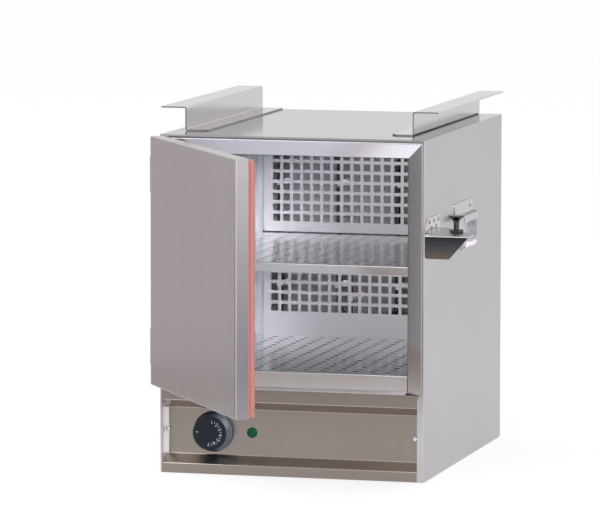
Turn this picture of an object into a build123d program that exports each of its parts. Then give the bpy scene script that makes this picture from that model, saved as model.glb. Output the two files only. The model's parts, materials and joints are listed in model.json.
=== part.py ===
from build123d import *
import os
from math import cos, radians, sin

os.makedirs("parts", exist_ok=True)

# A counter-mounted plate warmer cabinet in folded stainless sheet.
# +X is to the right of a person facing the door, +Y runs from the door to the back, +Z is up.
# The origin is the centre of the cabinet's footprint. All sizes are in millimetres.

# ---------------------------------------------------------------- driving dimensions
body_width = 400.0
body_depth = 500.0
body_height = 500.0
skin = 1.2                  # outer casing sheet
liner = 1.0                 # heated chamber sheet
plate = 1.5                 # small brackets and hinge leaves
bend = 2.2                  # outer radius of the folds in the casing and the shelves

frame_bottom = 127.8        # height where the door frame starts
bezel_width = 26.8          # side wall's inside to the door opening
bezel_depth = 10.0          # how far the frame's inner edge lies behind the front plane
bezel_return = 14.0         # folded edges that run back into the body
edge_return = 2.6           # front edges of the side walls, folded in beside the frame
top_apron = 3.6             # front edge of the top panel, folded down over the frame
frame_joint = 0.3           # open joint between the frame and the control panel

back_gap = 24.0             # chamber's back sheet to the rear plane
chamber_floor_rise = 1.5    # chamber's floor sheet above the frame's lower end
floor_shelf_height = 154.5
shelf_height = 314.0        # top of the middle shelf
shelf_setback = 16.0        # front plane to the shelves' front edges
shelf_apron = 13.0          # folded front edge of the middle shelf
shelf_side_gap = 0.8
shelf_rear_gap = 1.0
sill_setback = 3.0          # the floor shelf's sill stands in front of the other shelf by this
shelf_hole_radius = 4.25
shelf_hole_pitch = 25.0
shelf_hole_margin = 22.0
runner_height = 20.0
runner_ledge = 15.0

grille_standoff = 36.0      # perforated panels to the chamber's back sheet
grille_side_gap = 0.5
grille_hole = 11.0
grille_pitch = 16.0
grille_side_margin = 24.0   # panel's edge to the centre of the first column of holes
grille_top_margin = 18.0    # panel's top to the centre of the last row, at least
upper_grille_foot = 23.0    # shelf to the centre of the first row of holes
lower_grille_foot = 42.5
upper_grille_shift = 2.0
lower_grille_shift = -1.0
grille_gap = 1.6            # joint between a perforated panel and the shelf above it
post_width = 10.0
post_leg = 20.0
post_standoff = 1.8

control_recess = 20.8       # depth of the control panel's tray
tray_bottom_edge = 14.6
tray_bottom = 26.3
tray_top = 95.2
tray_top_edge = 108.3
strip_width = 6.5           # lip of the left cheek on the tray's face
right_flange = 10.5         # front flange of the right side panel
flange_corner = 5.0
rear_flange = 14.0
pan_flange = 14.0

knob_x = -124.0
lamp_x = -65.3
control_height = 60.8
knob_skirt_radius = 30.0
knob_skirt_height = 2.6
knob_base_radius = 27.6
knob_base_height = 5.0
knob_face_radius = 24.2
knob_height = 22.0
knob_round = 1.5
knob_gap = 1.0
spindle_radius = 3.0
spindle_cover = 3.0         # knob's material over the spindle's end
running_fit = 0.05
collar_radius = 4.9
thermostat_size = 44.0
thermostat_corner = 4.0
thermostat_depth = 34.0
tag_spread = 12.0           # thermostat's tags to its centre line
tag_width = 6.0
tag_length = 9.0
tag_thickness = 1.0
tag_rise = 8.0
lamp_radius = 7.8
lamp_height = 3.0
lamp_barrel_radius = 5.9
lamp_barrel_length = 26.0
lamp_pin_radius = 0.9
lamp_pin_length = 7.0
lamp_pin_spread = 2.5
nut_height = 4.0
nut_flat = 3.0              # nuts' corners outside the thread that they take
fit_gap = 0.1               # clearance of barrels, rivets and screws in their holes

door_bottom = 134.0
door_pan_depth = 20.0
door_fold = 3.0             # outer radius round the door's face
gasket_depth = 12.0
gasket_width = 11.0
gasket_inset = 2.0          # door's edge to the gasket's foot
gasket_round = 4.0
gasket_gap = 0.3            # gasket to frame with the door shut
door_side_gap = 0.5
door_open_angle = 56.3      # angle from shut at which the model stands
hinge_offset = 3.5          # hinge axis outside the left wall
hinge_forward = 27.8        # hinge axis in front of the front plane
hinge_inset = 56.0          # hinges' middles to the door's ends
knuckle_radius = 3.2
pin_radius = 1.6
pin_head_radius = 2.8
leaf_tall = 22.0
leaf_long = 70.0
knuckle_gap = 0.4
door_knuckle = 14.0
tab_rivet_inset = 7.0       # door's tab rivets to its rim

rail_height = 35.5          # mounting rails above the top panel
rail_sheet = 2.0
rail_bend = 3.2             # outer radius of the rails' folds
rail_top_flange = 39.0
rail_bottom_flange = 34.0
rail_left_inset = 18.5      # left wall to the left rail's web
rail_right_inset = 34.0     # right wall to the right rail's web
rail_front = 70.0           # front plane to the rails' front ends
rail_rear = 4.0             # rails' rear ends to the rear plane
rail_corner = 8.0

latch_height = 365.5        # top of the raised latch flap
latch_leaf_start = 12.0     # behind the front plane
latch_leaf_end = 90.0
latch_leaf_height = 21.5
flap_reach = 67.6           # from the latch axis outwards
flap_end = 3.0              # straight outer edge, behind the front plane
flap_lip_gap = 1.0          # lip to the shut door's face
flap_lip_height = 33.5
flap_lip_chamfer = 28.0
flap_corner = 4.0
flap_taper = 0.7            # slant of the flap's rear edge: inwards for each millimetre back
flap_knuckle_start = 30.0
flap_knuckle_end = 45.0
latch_knob_reach = 36.3     # from the latch axis outwards
latch_knob_back = 25.0
latch_knob_radius = 12.3
latch_knob_height = 25.0
latch_knob_rim = 1.8
latch_stem_radius = 4.0
latch_nut_radius = 10.5
latch_nut_height = 4.5

grip_front = 185.0          # side grip, behind the front plane
grip_rear = 301.6
grip_top = 390.0
grip_tall = 69.2
grip_ledge = 16.0
grip_ledge_drop = 18.0      # grip's top to the ledge
grip_ledge_end = 28.6       # ledge's rear end in front of the grip's
grip_hook = 9.5             # ledge's outer edge, folded down
grip_root_round = 7.0
grip_hook_round = 3.0
grip_corner = 4.0
grip_shelf = 10.0           # reach of the lower flanges
grip_waist = 13.0           # lower plate's front edge behind the grip's
grip_web_inset = 9.0        # rear end to the upright flange
grip_rivet_step = 25.0      # rear end to the first rivet, and on to the second

rivet_radius = 1.6
rivet_head_radius = 3.0
rivet_head_height = 1.1
rivet_tail = 1.0
screw_radius = 2.0
screw_head_radius = 3.6
screw_head_height = 2.2
screw_length = 9.0
rear_screw_inset = 60.0     # rear panel's end screws to its ends
panel_screw_left = 5.1      # control panel's screws to the side walls' insides
panel_screw_right = 17.0

heater_radius = 4.0
heater_side_gap = 33.2      # outer runs to the chamber walls
heater_top_gap = 27.2
heater_floor_gap = 49.0
heater_tail_drop = 31.0
heater_bend = 30.0
heater_pin_radius = 1.8
heater_pin_length = 14.0
clip_width = 10.0
clip_foot = 8.0
clip_rise = 50.0
bulb_radius = 3.2
bulb_x = -24.5
bulb_rise = 61.0            # chamber's floor to the bulb's lower end
bulb_length = 95.0
bulb_neck = 3.0
capillary_radius = 1.0
capillary_gap = 0.5
insulation_gap = 2.8
bottom_insulation = 20.0

gland_x = -120.0
gland_height = 50.0
gland_radius = 8.0
gland_bore_radius = 4.5
gland_thread = 12.0         # inside the rear panel
gland_hexagon = 6.0
gland_cap = 14.0
stud_x = -80.0
stud_length = 12.0

vent_width = 4.0
vent_length = 46.0
vent_pitch = 12.0
vent_count = 10
vent_x = 70.0

terminal_x = 40.0
terminal_y = 40.0
terminal_poles = 5
terminal_pitch = 12.0
terminal_depth = 24.0
terminal_foot = 8.0
terminal_ridge = 10.0
terminal_height = 18.0
terminal_well = 5.0
terminal_screw_radius = 2.4
terminal_screw_length = 3.5

capillary_drop = 48.0       # chamber's floor to the capillary's long run
wire_bend = 6.0
wire_radius = 1.4
wire_rise = 6.0             # base sheet to the wires at the terminal block
wire_slack = 30.0           # straight run of a wire behind the part that it leaves
control_wires = 30.0        # heights of the wires' long runs
lamp_wires = 40.0
heater_wires = 50.0

# ---------------------------------------------------------------- derived positions
half_width = body_width / 2
front = -body_depth / 2
rear = body_depth / 2
inner_x = half_width - skin                     # inside of the side panels
return_x = half_width - edge_return             # inner ends of their folded front edges
panel_front = front + skin                      # face of the control panel's strips
opening_x = inner_x - bezel_width               # half width of the door opening
bezel_back = front + bezel_depth
return_end = bezel_back + bezel_return
top_under = body_height - skin
frame_top = body_height - top_apron
opening_top = top_under - bezel_width
chamber_x = opening_x + skin                    # inside faces of the chamber walls
chamber_top = opening_top + skin
chamber_front = bezel_back + skin
chamber_back_y = rear - back_gap
chamber_floor_height = frame_bottom + chamber_floor_rise
chamber_low = chamber_floor_height + liner
shelf_front = front + shelf_setback
grille_y = chamber_back_y - grille_standoff
grille_x = chamber_x - grille_side_gap
tray_face = panel_front + control_recess
tray_back = tray_face + skin
door_face = front - gasket_depth - gasket_gap - door_pan_depth
door_rim = door_face + door_pan_depth           # where the pan ends and the gasket starts
door_x = half_width - door_side_gap
hinge_x = -half_width - hinge_offset
hinge_y = front - hinge_forward
hinge_heights = (door_bottom + hinge_inset, body_height - hinge_inset)
rail_web_left = -half_width + rail_left_inset
rail_web_right = half_width - rail_right_inset
latch_axis_x = half_width + plate + knuckle_radius
latch_axis_z = latch_height - knuckle_radius
lip_y = door_face - flap_lip_gap                # inner face of the latch lip
grip_bottom = grip_top - grip_tall
grip_ledge_top = grip_top - grip_ledge_drop
heater_y = (grille_y + liner + chamber_back_y) / 2
heater_reach = chamber_x - heater_side_gap
heater_x = (-heater_reach, -heater_reach / 3, heater_reach / 3, heater_reach)
heater_top = chamber_top - heater_top_gap
heater_low = chamber_floor_height + heater_floor_gap
heater_tail = chamber_floor_height - heater_tail_drop
bulb_y = grille_y + liner + bulb_radius + post_standoff
bulb_bottom = chamber_floor_height + bulb_rise
bulb_top = bulb_bottom + bulb_length


# ---------------------------------------------------------------- shared forms
def block(x, y, z, mode=Mode.ADD):
    """A box between two values along each axis."""
    with Locations(((x[0] + x[1]) / 2, (y[0] + y[1]) / 2, (z[0] + z[1]) / 2)):
        Box(x[1] - x[0], y[1] - y[0], z[1] - z[0], mode=mode)


def rod(point, direction, radius, length, mode=Mode.ADD):
    """A cylinder that starts at a point and runs along a direction."""
    with Locations(Plane(origin=point, z_dir=direction)):
        Cylinder(radius, length, align=(Align.CENTER, Align.CENTER, Align.MIN), mode=mode)


def hole(point, direction, radius, depth):
    """A round hole, cut as long in front of the point as behind it."""
    start = Vector(*point) - Vector(*direction) * depth
    rod(tuple(start), direction, radius, 2 * depth, Mode.SUBTRACT)


def turned(point, direction, profile):
    """A solid of revolution: profile points are (radius, distance along the direction)."""
    across = Vector(0, 0, 1) if abs(direction[2]) < 0.5 else Vector(1, 0, 0)
    plane = Plane(origin=point, x_dir=across, z_dir=across.cross(Vector(*direction)))
    with BuildSketch(plane) as section:
        with BuildLine():
            Polyline(*profile, close=True)
        make_face()
    revolve(section.sketch, axis=Axis(point, direction))


def round_corners(section, points, radius):
    """Rounds the corners of a sketch that lie at the given points."""
    corners = [vertex for vertex in section.vertices()
               if min((vertex.center() - Vector(*point)).length for point in points) < fit_gap]
    fillet(corners, radius=radius)


def folded(plane, points, thickness, length, side=Side.RIGHT):
    """A sheet folded along the polyline of its face, with the face's corners rounded."""
    with BuildSketch(plane) as section:
        with BuildLine():
            Polyline(*points)
            offset(amount=thickness, side=side, kind=Kind.INTERSECTION)
        make_face()
        round_corners(section, points[1:-1], bend)
    extrude(section.sketch, amount=length)


def outline_cut(plane, points, depth):
    """Cuts the closed polygon through a part, from a plane."""
    with BuildSketch(plane) as section:
        with BuildLine():
            Polyline(*points, close=True)
        make_face()
    extrude(section.sketch, amount=depth, mode=Mode.SUBTRACT)


def front_view(y):
    """A sketch plane seen from the front: X to the right, Z up, facing -Y."""
    return Plane(origin=(0, y, 0), x_dir=(1, 0, 0), z_dir=(0, -1, 0))


def rivet(point, outwards):
    """A blind rivet: a domed head on a surface and a shank through two sheets."""
    inwards = tuple(Vector(*outwards) * -1)
    rod(point, outwards, rivet_head_radius, rivet_head_height)
    rod(point, inwards, rivet_radius, plate + skin + rivet_tail)


def screw(point, outwards, length):
    """A pan-head screw seated on a surface."""
    inwards = tuple(Vector(*outwards) * -1)
    rod(point, outwards, screw_head_radius, screw_head_height)
    rod(point, inwards, screw_radius, length)


def hinge_leaf_rivets(height):
    """Rivet places of one door hinge on the left wall, as (y, z)."""
    return leaf_rivets(front + skin + rear_flange, front + leaf_long, height - leaf_tall / 2, leaf_tall)


def leaf_rivets(start, end, bottom, tall):
    """Five rivet places on a leaf: three in the upper row and two in the lower row."""
    run = end - start
    upper = [(start + run * share, bottom + tall * 0.72) for share in (0.15, 0.5, 0.85)]
    lower = [(start + run * share, bottom + tall * 0.28) for share in (0.32, 0.68)]
    return upper + lower


latch_rivets_at = leaf_rivets(front + latch_leaf_start, front + latch_leaf_end, latch_height - plate,
                              latch_leaf_height)
grip_rivets_at = ((front + grip_rear - grip_rivet_step, grip_bottom + 3 * grip_shelf),
                  (front + grip_rear - 2 * grip_rivet_step, grip_bottom + grip_shelf))
grip_screw_at = (front + grip_rear - 2 * grip_web_inset, grip_top - grip_shelf)
rear_screws_at = [(side * (inner_x - rear_flange / 2), height)
                  for side in (-1, 1)
                  for height in (rear_screw_inset, body_height / 2, body_height - rear_screw_inset)]
panel_screws_at = ((panel_screw_left - inner_x, control_height + 2),
                   (inner_x - panel_screw_right, control_height))
cheek_screw_at = (panel_front + screw_head_radius + skin, control_height + 2)


# ---------------------------------------------------------------- casing
def side_wall(side, flange_width, fold_side):
    """One side panel: the wall, its folded front edge and its rear flange."""
    back_flange = sorted((side * inner_x, side * (inner_x - rear_flange)))
    folded(Plane.XY, [(side * half_width, rear), (side * half_width, front),
                      (side * (half_width - flange_width), front)], skin, body_height, fold_side)
    block(sorted((side * inner_x, side * (half_width - flange_width))), (front, front + skin),
          (top_under, body_height), Mode.SUBTRACT)
    block(back_flange, (rear - 2 * skin, rear - skin), (skin, top_under - skin))
    for x, z in rear_screws_at:
        hole((x, rear, z), (0, 1, 0), screw_radius + fit_gap, 3 * skin)


with BuildPart() as side_panel_left:
    side_wall(-1, edge_return, Side.LEFT)
    for height in hinge_heights:
        for y, z in hinge_leaf_rivets(height):
            hole((-half_width, y, z), (1, 0, 0), rivet_radius + fit_gap, 3 * skin)
    hole((-half_width, *cheek_screw_at), (1, 0, 0), screw_radius + fit_gap, 3 * skin)
side_panel_left.part.label = "side_panel_left"
export_step(side_panel_left.part, "parts/side_panel_left.step")

with BuildPart() as side_panel_right:
    flange_top = frame_bottom - frame_joint
    flange_edge = half_width - right_flange
    side_wall(1, right_flange, Side.RIGHT)
    outline_cut(front_view(front),
                [(flange_edge, flange_top - flange_corner), (flange_edge + flange_corner, flange_top),
                 (return_x, flange_top), (return_x, body_height), (flange_edge, body_height)], -skin)
    for y, z in list(latch_rivets_at) + list(grip_rivets_at):
        hole((half_width, y, z), (1, 0, 0), rivet_radius + fit_gap, 3 * skin)
    hole((half_width, *grip_screw_at), (1, 0, 0), screw_radius + fit_gap, 3 * skin)
side_panel_right.part.label = "side_panel_right"
export_step(side_panel_right.part, "parts/side_panel_right.step")

with BuildPart() as top_panel:
    block((-inner_x, inner_x), (front, rear), (top_under, body_height))
    block((-return_x, return_x), (front, front + skin), (frame_top, body_height))
    fillet(top_panel.edges().filter_by(Axis.X).group_by(Axis.Y)[0].group_by(Axis.Z)[-1], radius=bend)
top_panel.part.label = "top_panel"
export_step(top_panel.part, "parts/top_panel.step")

with BuildPart() as rear_panel:
    block((-inner_x, inner_x), (rear - skin, rear), (0, top_under))
    for x, z in rear_screws_at:
        hole((x, rear, z), (0, 1, 0), screw_radius + fit_gap, 3 * skin)
    hole((gland_x, rear, gland_height), (0, 1, 0), gland_radius + fit_gap, 3 * skin)
    hole((stud_x, rear, gland_height), (0, 1, 0), screw_radius + fit_gap, 3 * skin)
    with BuildSketch(front_view(rear)):
        with Locations((vent_x, control_height)):
            with GridLocations(vent_pitch, 1, vent_count, 1):
                SlotOverall(vent_length, vent_width, rotation=90)
    extrude(amount=2 * skin, mode=Mode.SUBTRACT)
rear_panel.part.label = "rear_panel"
export_step(rear_panel.part, "parts/rear_panel.step")

with BuildPart() as base_pan:
    block((-inner_x, inner_x), (panel_front + 2 * skin, rear - skin), (0, skin))
    for side in (-1, 1):
        block(sorted((side * inner_x, side * (inner_x - skin))),
              (panel_front + 2 * skin + pan_flange, rear - 2 * skin - pan_flange), (skin, skin + pan_flange))
base_pan.part.label = "base_pan"
export_step(base_pan.part, "parts/base_pan.step")


# ---------------------------------------------------------------- door frame
def bezel_profile(flip):
    """Face line of an upright: folded edge, sloping face and folded edge, as (across, along Y)."""
    return [(flip * return_x, front + bezel_return), (flip * return_x, front),
            (flip * opening_x, bezel_back), (flip * opening_x, return_end)]


def mitre_cut(side):
    """Removes what lies past the mitre from an upright."""
    outline_cut(front_view(front - 1),
                [(side * return_x, frame_top), (side * opening_x, opening_top),
                 (side * (opening_x - bezel_width), opening_top),
                 (side * (opening_x - bezel_width), body_height), (side * return_x, body_height)],
                -(bezel_depth + bezel_return + 2))


upright = frame_top - frame_bottom
with BuildPart() as bezel_right:
    folded(Plane.XY.offset(frame_bottom), bezel_profile(1), skin, upright, Side.RIGHT)
    mitre_cut(1)
bezel_right.part.label = "bezel_right"
export_step(bezel_right.part, "parts/bezel_right.step")

with BuildPart() as bezel_left:
    folded(Plane.XY.offset(frame_bottom), bezel_profile(-1), skin, upright, Side.LEFT)
    mitre_cut(-1)
bezel_left.part.label = "bezel_left"
export_step(bezel_left.part, "parts/bezel_left.step")

with BuildPart() as bezel_top:
    folded(Plane.YZ.offset(-return_x),
           [(front + bezel_return, frame_top), (front, frame_top), (bezel_back, opening_top),
            (return_end, opening_top)],
           skin, 2 * return_x, Side.LEFT)
    for side in (-1, 1):
        outline_cut(front_view(front - 1),
                    [(side * return_x, frame_top), (side * opening_x, opening_top),
                     (side * opening_x, opening_top - bezel_width),
                     (side * half_width, opening_top - bezel_width), (side * half_width, frame_top)],
                    -(bezel_depth + bezel_return + 2))
bezel_top.part.label = "bezel_top"
export_step(bezel_top.part, "parts/bezel_top.step")

# ---------------------------------------------------------------- control panel
recess_line = [(panel_front, tray_top_edge), (tray_face, tray_top),
               (tray_face, tray_bottom), (panel_front, tray_bottom_edge)]
with BuildPart() as control_panel:
    folded(Plane.YZ.offset(-inner_x),
           [(panel_front, frame_bottom - frame_joint), *recess_line, (panel_front, 0)],
           skin, 2 * inner_x, Side.LEFT)
    for cheek_start in (-inner_x, inner_x - skin):
        with BuildSketch(Plane.YZ.offset(cheek_start)) as cheek:
            with BuildLine():
                Polyline(*recess_line, close=True)
            make_face()
        extrude(cheek.sketch, amount=skin)
    block((-inner_x, strip_width - inner_x), (tray_face - skin, tray_face), (tray_bottom, tray_top))
    hole((knob_x, tray_face, control_height), (0, 1, 0), collar_radius + fit_gap, 3 * skin)
    hole((lamp_x, tray_face, control_height), (0, 1, 0), lamp_barrel_radius + fit_gap, 3 * skin)
    hole((-half_width, *cheek_screw_at), (1, 0, 0), screw_radius + fit_gap, 3 * skin)
    for x, z in panel_screws_at:
        hole((x, tray_face, z), (0, 1, 0), screw_radius + fit_gap, 3 * skin)
control_panel.part.label = "control_panel"
export_step(control_panel.part, "parts/control_panel.step")

with BuildPart() as casing_screws:
    for (x, z), seat in zip(panel_screws_at, (tray_face - skin, tray_face)):
        screw((x, seat, z), (0, -1, 0), screw_length)
    for x, z in rear_screws_at:
        screw((x, rear, z), (0, 1, 0), screw_length)
    screw((-inner_x + skin, *cheek_screw_at), (1, 0, 0), 2 * skin)
casing_screws.part.label = "casing_screws"
export_step(casing_screws.part, "parts/casing_screws.step")

# ---------------------------------------------------------------- knob and thermostat
knob_back = tray_face - knob_gap
knob_front = knob_back - knob_height
spindle_front = knob_front + spindle_cover
body_back = tray_back + thermostat_depth
spindle_back = tray_back + thermostat_depth / 2

with BuildPart() as knob:
    turned((knob_x, knob_back, control_height), (0, -1, 0),
           [(0, 0), (knob_skirt_radius, 0), (knob_skirt_radius, knob_skirt_height),
            (knob_base_radius, knob_base_height), (knob_face_radius, knob_height - knob_round),
            (knob_face_radius - knob_round, knob_height), (0, knob_height)])
    hole((knob_x, knob_back, control_height), (0, -1, 0), spindle_radius, knob_back - spindle_front)
knob.part.label = "knob"
export_step(knob.part, "parts/knob.step")

with BuildPart() as thermostat_spindle:
    rod((knob_x, spindle_back, control_height), (0, -1, 0), spindle_radius, spindle_back - spindle_front)
thermostat_spindle.part.label = "thermostat_spindle"
export_step(thermostat_spindle.part, "parts/thermostat_spindle.step")

with BuildPart() as thermostat_body:
    block((knob_x - thermostat_size / 2, knob_x + thermostat_size / 2), (tray_back, body_back),
          (control_height - thermostat_size / 2, control_height + thermostat_size / 2))
    fillet(thermostat_body.edges().filter_by(Axis.Y), radius=thermostat_corner)
    rod((knob_x, tray_back, control_height), (0, -1, 0), collar_radius, skin)
    rod((knob_x, tray_face - knob_gap / 2, control_height), (0, 1, 0), spindle_radius + running_fit,
        spindle_back - tray_face + 1, Mode.SUBTRACT)
    for tag_x in (knob_x - tag_spread, knob_x + tag_spread):
        block((tag_x - tag_width / 2, tag_x + tag_width / 2), (body_back, body_back + tag_length),
              (control_height + tag_rise, control_height + tag_rise + tag_thickness))
thermostat_body.part.label = "thermostat_body"
export_step(thermostat_body.part, "parts/thermostat_body.step")

# ---------------------------------------------------------------- pilot lamp
with BuildPart() as lamp_lens:
    turned((lamp_x, tray_face, control_height), (0, -1, 0),
           [(0, 0), (lamp_radius, 0), (lamp_radius, lamp_height * 0.4),
            (lamp_radius * 0.8, lamp_height * 0.8), (lamp_radius * 0.4, lamp_height), (0, lamp_height)])
lamp_lens.part.label = "lamp_lens"
export_step(lamp_lens.part, "parts/lamp_lens.step")

with BuildPart() as lamp_barrel:
    rod((lamp_x, tray_face, control_height), (0, 1, 0), lamp_barrel_radius, lamp_barrel_length)
    for pin_x in (lamp_x - lamp_pin_spread, lamp_x + lamp_pin_spread):
        rod((pin_x, tray_face + lamp_barrel_length, control_height), (0, 1, 0),
            lamp_pin_radius, lamp_pin_length)
lamp_barrel.part.label = "lamp_barrel"
export_step(lamp_barrel.part, "parts/lamp_barrel.step")

with BuildPart() as lamp_nut:
    with BuildSketch(Plane(origin=(lamp_x, tray_back, control_height), z_dir=(0, 1, 0))):
        RegularPolygon(lamp_barrel_radius + nut_flat, 6)
        Circle(lamp_barrel_radius + running_fit, mode=Mode.SUBTRACT)
    extrude(amount=nut_height)
lamp_nut.part.label = "lamp_nut"
export_step(lamp_nut.part, "parts/lamp_nut.step")

# ---------------------------------------------------------------- heated chamber
with BuildPart() as chamber_wall_left:
    block((-chamber_x - liner, -chamber_x), (chamber_front, chamber_back_y), (chamber_low, chamber_top))
chamber_wall_left.part.label = "chamber_wall_left"
export_step(chamber_wall_left.part, "parts/chamber_wall_left.step")

with BuildPart() as chamber_wall_right:
    block((chamber_x, chamber_x + liner), (chamber_front, chamber_back_y), (chamber_low, chamber_top))
chamber_wall_right.part.label = "chamber_wall_right"
export_step(chamber_wall_right.part, "parts/chamber_wall_right.step")

with BuildPart() as chamber_ceiling:
    block((-chamber_x - liner, chamber_x + liner), (chamber_front, chamber_back_y),
          (chamber_top, chamber_top + liner))
chamber_ceiling.part.label = "chamber_ceiling"
export_step(chamber_ceiling.part, "parts/chamber_ceiling.step")

pan_front = shelf_front - sill_setback
with BuildPart() as chamber_floor:
    block((-opening_x, opening_x), (pan_front, return_end), (chamber_floor_height, chamber_low))
    block((-chamber_x - liner, chamber_x + liner), (return_end, chamber_back_y),
          (chamber_floor_height, chamber_low))
    for x in (heater_x[0], heater_x[-1]):
        hole((x, heater_y, chamber_low), (0, 0, 1), heater_radius + liner, 3 * liner)
    hole((bulb_x, bulb_y, chamber_low), (0, 0, 1), capillary_radius + capillary_gap, 3 * liner)
chamber_floor.part.label = "chamber_floor"
export_step(chamber_floor.part, "parts/chamber_floor.step")

with BuildPart() as chamber_back:
    block((-chamber_x - liner, chamber_x + liner), (chamber_back_y, chamber_back_y + liner),
          (chamber_floor_height, chamber_top + liner))
chamber_back.part.label = "chamber_back"
export_step(chamber_back.part, "parts/chamber_back.step")


def shelf_holes(half, start, end, z, thickness):
    """A square pattern of round holes over a shelf."""
    columns = int((2 * half - 2 * shelf_hole_margin) / shelf_hole_pitch) + 1
    rows = int((end - start - 2 * shelf_hole_margin) / shelf_hole_pitch) + 1
    with BuildSketch(Plane(origin=(0, (start + end) / 2, z))) as pattern:
        with GridLocations(shelf_hole_pitch, shelf_hole_pitch, columns, rows):
            Circle(shelf_hole_radius)
    extrude(pattern.sketch, amount=-thickness, mode=Mode.SUBTRACT)


shelf_x = opening_x - shelf_side_gap
shelf_rear = grille_y - shelf_rear_gap
sill_face = pan_front - skin
with BuildPart() as floor_shelf:
    folded(Plane.YZ.offset(-shelf_x),
           [(shelf_rear, floor_shelf_height), (sill_face, floor_shelf_height), (sill_face, frame_bottom)],
           skin, 2 * shelf_x, Side.LEFT)
    block((-shelf_x, shelf_x), (panel_front, sill_face), (frame_bottom - frame_joint, frame_bottom + skin))
    for side in (-1, 1):
        block(sorted((side * shelf_x, side * (shelf_x - skin))), (shelf_front, shelf_rear),
              (chamber_low, floor_shelf_height - skin))
    shelf_holes(shelf_x, shelf_front, shelf_rear, floor_shelf_height, skin)
floor_shelf.part.label = "floor_shelf"
export_step(floor_shelf.part, "parts/floor_shelf.step")

with BuildPart() as shelf_middle:
    folded(Plane.YZ.offset(-shelf_x),
           [(shelf_rear, shelf_height), (shelf_front, shelf_height),
            (shelf_front, shelf_height - shelf_apron)],
           skin, 2 * shelf_x, Side.LEFT)
    shelf_holes(shelf_x, shelf_front, shelf_rear, shelf_height, skin)
shelf_middle.part.label = "shelf_middle"
export_step(shelf_middle.part, "parts/shelf_middle.step")


def shelf_runner(side):
    """An angle on the chamber wall that carries the middle shelf."""
    under = shelf_height - skin
    start = return_end + liner
    block(sorted((side * chamber_x, side * (chamber_x - skin))), (start, shelf_rear),
          (under - runner_height, under))
    block(sorted((side * chamber_x, side * (chamber_x - runner_ledge))), (start, shelf_rear),
          (under - skin, under))


with BuildPart() as shelf_runner_left:
    shelf_runner(-1)
shelf_runner_left.part.label = "shelf_runner_left"
export_step(shelf_runner_left.part, "parts/shelf_runner_left.step")

with BuildPart() as shelf_runner_right:
    shelf_runner(1)
shelf_runner_right.part.label = "shelf_runner_right"
export_step(shelf_runner_right.part, "parts/shelf_runner_right.step")

# ---------------------------------------------------------------- perforated panels
def perforated(bottom, top, first_row, shift):
    """A sheet across the back of one compartment with rows of square holes."""
    block((-grille_x, grille_x), (grille_y, grille_y + liner), (bottom, top))
    columns = int(2 * (grille_x - grille_side_margin) / grille_pitch) + 1
    rows = int((top - grille_top_margin - first_row) / grille_pitch) + 1
    middle_row = first_row + (rows - 1) * grille_pitch / 2
    with BuildSketch(front_view(grille_y)) as pattern:
        with Locations((shift, middle_row)):
            with GridLocations(grille_pitch, grille_pitch, columns, rows):
                Rectangle(grille_hole, grille_hole)
    extrude(pattern.sketch, amount=-liner, mode=Mode.SUBTRACT)


with BuildPart() as grille_upper:
    perforated(shelf_height + grille_gap, chamber_top, shelf_height + upper_grille_foot, upper_grille_shift)
grille_upper.part.label = "grille_upper"
export_step(grille_upper.part, "parts/grille_upper.step")

with BuildPart() as grille_lower:
    perforated(chamber_low, shelf_height, floor_shelf_height + lower_grille_foot, lower_grille_shift)
grille_lower.part.label = "grille_lower"
export_step(grille_lower.part, "parts/grille_lower.step")


def corner_posts(bottom, top):
    """Angle strips in the chamber's back corners that hold one perforated panel."""
    face = grille_y - post_standoff
    for side in (-1, 1):
        block(sorted((side * chamber_x, side * (chamber_x - post_width))), (face - skin, face),
              (bottom, top))
        block(sorted((side * chamber_x, side * (chamber_x - skin))), (face - post_leg, face - skin),
              (bottom, top))
        block(sorted((side * chamber_x, side * (chamber_x - post_standoff))), (face, grille_y),
              (bottom, top))


with BuildPart() as grille_posts:
    corner_posts(shelf_height, chamber_top)
    corner_posts(floor_shelf_height, shelf_height - skin - runner_height)
grille_posts.part.label = "grille_posts"
export_step(grille_posts.part, "parts/grille_posts.step")

# ---------------------------------------------------------------- insulation
slab_x = (chamber_x + liner, inner_x - insulation_gap)
slab_y = (front + bezel_return + skin, chamber_back_y + liner)
slab_z = (chamber_floor_height, chamber_top + liner)
with BuildPart() as insulation_left:
    block((-slab_x[1], -slab_x[0]), slab_y, slab_z)
insulation_left.part.label = "insulation_left"
export_step(insulation_left.part, "parts/insulation_left.step")

with BuildPart() as insulation_right:
    block(slab_x, slab_y, slab_z)
insulation_right.part.label = "insulation_right"
export_step(insulation_right.part, "parts/insulation_right.step")

with BuildPart() as insulation_top:
    block((-slab_x[1], slab_x[1]), slab_y, (slab_z[1], top_under))
insulation_top.part.label = "insulation_top"
export_step(insulation_top.part, "parts/insulation_top.step")

with BuildPart() as insulation_back:
    block((-slab_x[1], slab_x[1]), (slab_y[1], rear - 2 * skin), (slab_z[0], top_under - 2 * skin))
    for x, z in rear_screws_at:
        hole((x, rear - 2 * skin, z), (0, 1, 0), screw_radius + liner, screw_length)
insulation_back.part.label = "insulation_back"
export_step(insulation_back.part, "parts/insulation_back.step")

with BuildPart() as insulation_bottom:
    block((-slab_x[1], slab_x[1]), (return_end + liner, slab_y[1]),
          (slab_z[0] - bottom_insulation, slab_z[0]))
    for x in (heater_x[0], heater_x[-1]):
        hole((x, heater_y, slab_z[0]), (0, 0, 1), heater_radius + liner, bottom_insulation + 1)
    hole((bulb_x, bulb_y, slab_z[0]), (0, 0, 1), capillary_radius + capillary_gap, bottom_insulation + 1)
insulation_bottom.part.label = "insulation_bottom"
export_step(insulation_bottom.part, "parts/insulation_bottom.step")


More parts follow.
